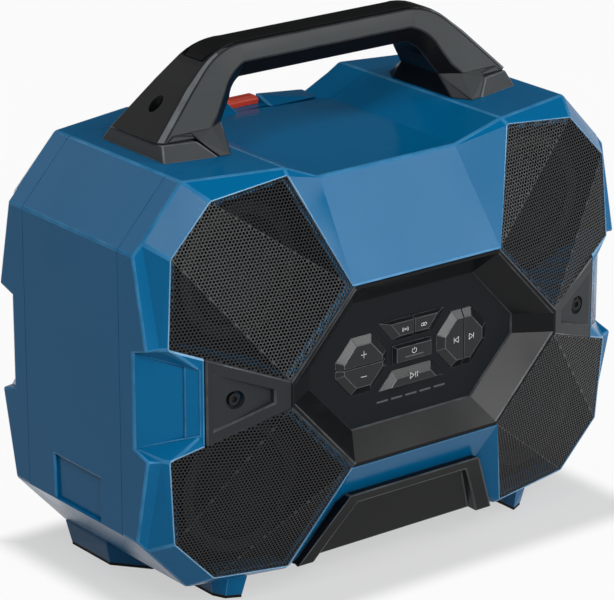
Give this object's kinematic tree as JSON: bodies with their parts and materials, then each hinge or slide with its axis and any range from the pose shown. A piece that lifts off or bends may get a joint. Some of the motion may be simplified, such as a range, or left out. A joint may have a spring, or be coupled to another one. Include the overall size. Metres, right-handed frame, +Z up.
{
  "type": "wireless speaker",
  "caption": "Rugged jobsite wireless speaker with faceted corner grilles, a sunken key panel, a fixed carrying handle and a battery pack that slides in at the back.",
  "frame": {"origin": "middle of the footprint, on the plane of the foot pads", "axes": "+X to the right of someone facing the key panel, +Y from the key panel to the back, +Z up"},
  "size_m": [0.372, 0.202, 0.3355],
  "materials": {
    "blue_shell": "moulded, fine satin texture",
    "black_plastic": "moulded, fine satin texture",
    "gray_plastic": "moulded, satin",
    "soft_rubber": "soft matte",
    "key_face": "satin",
    "key_rubber": "smooth silicone, satin",
    "grille_mesh": "powder coat on punched sheet",
    "driver_steel": "stamped, black paint",
    "magnet": "plain ferrite",
    "driver_cone": "pressed pulp, matte",
    "circuit_board": "solder mask",
    "light_lens": "clear, unlit",
    "red_plastic": "moulded, satin",
    "heat_sink": "extruded",
    "screw_steel": "zinc plated"
  },
  "bodies": {
    "base": {"front_shell": "blue_shell", "main_housing": "blue_shell", "rear_shell": "blue_shell", "front_seal": "soft_rubber", "rear_seal": "soft_rubber", "panel_frame": "black_plastic", "key_plate": "key_face", "control_board": "circuit_board", "key_switches": "black_plastic", "battery_lights": "light_lens", "grille_upper_left": "grille_mesh", "grille_upper_right": "grille_mesh", "grille_lower_left": "grille_mesh", "grille_lower_right": "grille_mesh", "driver_frame_upper_left": "driver_steel", "driver_frame_upper_right": "driver_steel", "driver_frame_lower_left": "driver_steel", "driver_frame_lower_right": "driver_steel", "magnet_upper_left": "magnet", "magnet_upper_right": "magnet", "magnet_lower_left": "magnet", "magnet_lower_right": "magnet", "surround_upper_left": "soft_rubber", "surround_upper_right": "soft_rubber", "surround_lower_left": "soft_rubber", "surround_lower_right": "soft_rubber", "driver_screws": "screw_steel", "handle_frame": "black_plastic", "handle_insert": "soft_rubber", "handle_foot_left": "gray_plastic", "handle_foot_right": "gray_plastic", "handle_screws": "screw_steel", "kick_plate": "black_plastic", "feet": "blue_shell", "foot_pads": "soft_rubber", "cheek_screws": "screw_steel", "tie_screws": "screw_steel", "battery_bay": "black_plastic", "battery_terminal": "circuit_board", "amplifier_board": "circuit_board", "heat_sink": "heat_sink", "amplifier_screws": "screw_steel"},
    "volume_up_key_body": {"volume_up_key": "key_rubber"},
    "volume_down_key_body": {"volume_down_key": "key_rubber"},
    "wireless_key_body": {"wireless_key": "key_rubber"},
    "link_key_body": {"link_key": "key_rubber"},
    "power_key_body": {"power_key": "key_rubber"},
    "play_key_body": {"play_key": "key_rubber"},
    "previous_key_body": {"previous_key": "key_rubber"},
    "next_key_body": {"next_key": "key_rubber"},
    "cone_upper_left_body": {"cone_upper_left": "driver_cone"},
    "cone_upper_right_body": {"cone_upper_right": "driver_cone"},
    "cone_lower_left_body": {"cone_lower_left": "driver_cone"},
    "cone_lower_right_body": {"cone_lower_right": "driver_cone"},
    "battery": {"battery_pack": "black_plastic"},
    "release": {"battery_release": "red_plastic"}
  },
  "joints": [
    {"name": "volume_up_press", "type": "slide", "parent": "base", "child": "volume_up_key_body", "axis": [0, 1, 0], "range_m": [0, 0.0012], "stiffness_N_per_m": 500, "springref_m": -0.0006},
    {"name": "volume_down_press", "type": "slide", "parent": "base", "child": "volume_down_key_body", "axis": [0, 1, 0], "range_m": [0, 0.0012], "stiffness_N_per_m": 500, "springref_m": -0.0006},
    {"name": "wireless_press", "type": "slide", "parent": "base", "child": "wireless_key_body", "axis": [0, 1, 0], "range_m": [0, 0.0012], "stiffness_N_per_m": 500, "springref_m": -0.0006},
    {"name": "link_press", "type": "slide", "parent": "base", "child": "link_key_body", "axis": [0, 1, 0], "range_m": [0, 0.0012], "stiffness_N_per_m": 500, "springref_m": -0.0006},
    {"name": "power_press", "type": "slide", "parent": "base", "child": "power_key_body", "axis": [0, 1, 0], "range_m": [0, 0.0012], "stiffness_N_per_m": 500, "springref_m": -0.0006},
    {"name": "play_press", "type": "slide", "parent": "base", "child": "play_key_body", "axis": [0, 1, 0], "range_m": [0, 0.0012], "stiffness_N_per_m": 500, "springref_m": -0.0006},
    {"name": "previous_press", "type": "slide", "parent": "base", "child": "previous_key_body", "axis": [0, 1, 0], "range_m": [0, 0.0012], "stiffness_N_per_m": 500, "springref_m": -0.0006},
    {"name": "next_press", "type": "slide", "parent": "base", "child": "next_key_body", "axis": [0, 1, 0], "range_m": [0, 0.0012], "stiffness_N_per_m": 500, "springref_m": -0.0006},
    {"name": "cone_upper_left_travel", "type": "slide", "parent": "base", "child": "cone_upper_left_body", "axis": [0, 1, 0], "range_m": [-0.0015, 0.0015], "stiffness_N_per_m": 1200},
    {"name": "cone_upper_right_travel", "type": "slide", "parent": "base", "child": "cone_upper_right_body", "axis": [0, 1, 0], "range_m": [-0.0015, 0.0015], "stiffness_N_per_m": 1200},
    {"name": "cone_lower_left_travel", "type": "slide", "parent": "base", "child": "cone_lower_left_body", "axis": [0, 1, 0], "range_m": [-0.0015, 0.0015], "stiffness_N_per_m": 1200},
    {"name": "cone_lower_right_travel", "type": "slide", "parent": "base", "child": "cone_lower_right_body", "axis": [0, 1, 0], "range_m": [-0.0015, 0.0015], "stiffness_N_per_m": 1200},
    {"name": "battery_slide", "type": "slide", "parent": "base", "child": "battery", "axis": [0, 1, 0], "range_m": [0, 0.114]},
    {"name": "release_press", "type": "slide", "parent": "battery", "child": "release", "axis": [0, 0, -1], "range_m": [0, 0.003], "stiffness_N_per_m": 700, "springref_m": -0.001}
  ]
}
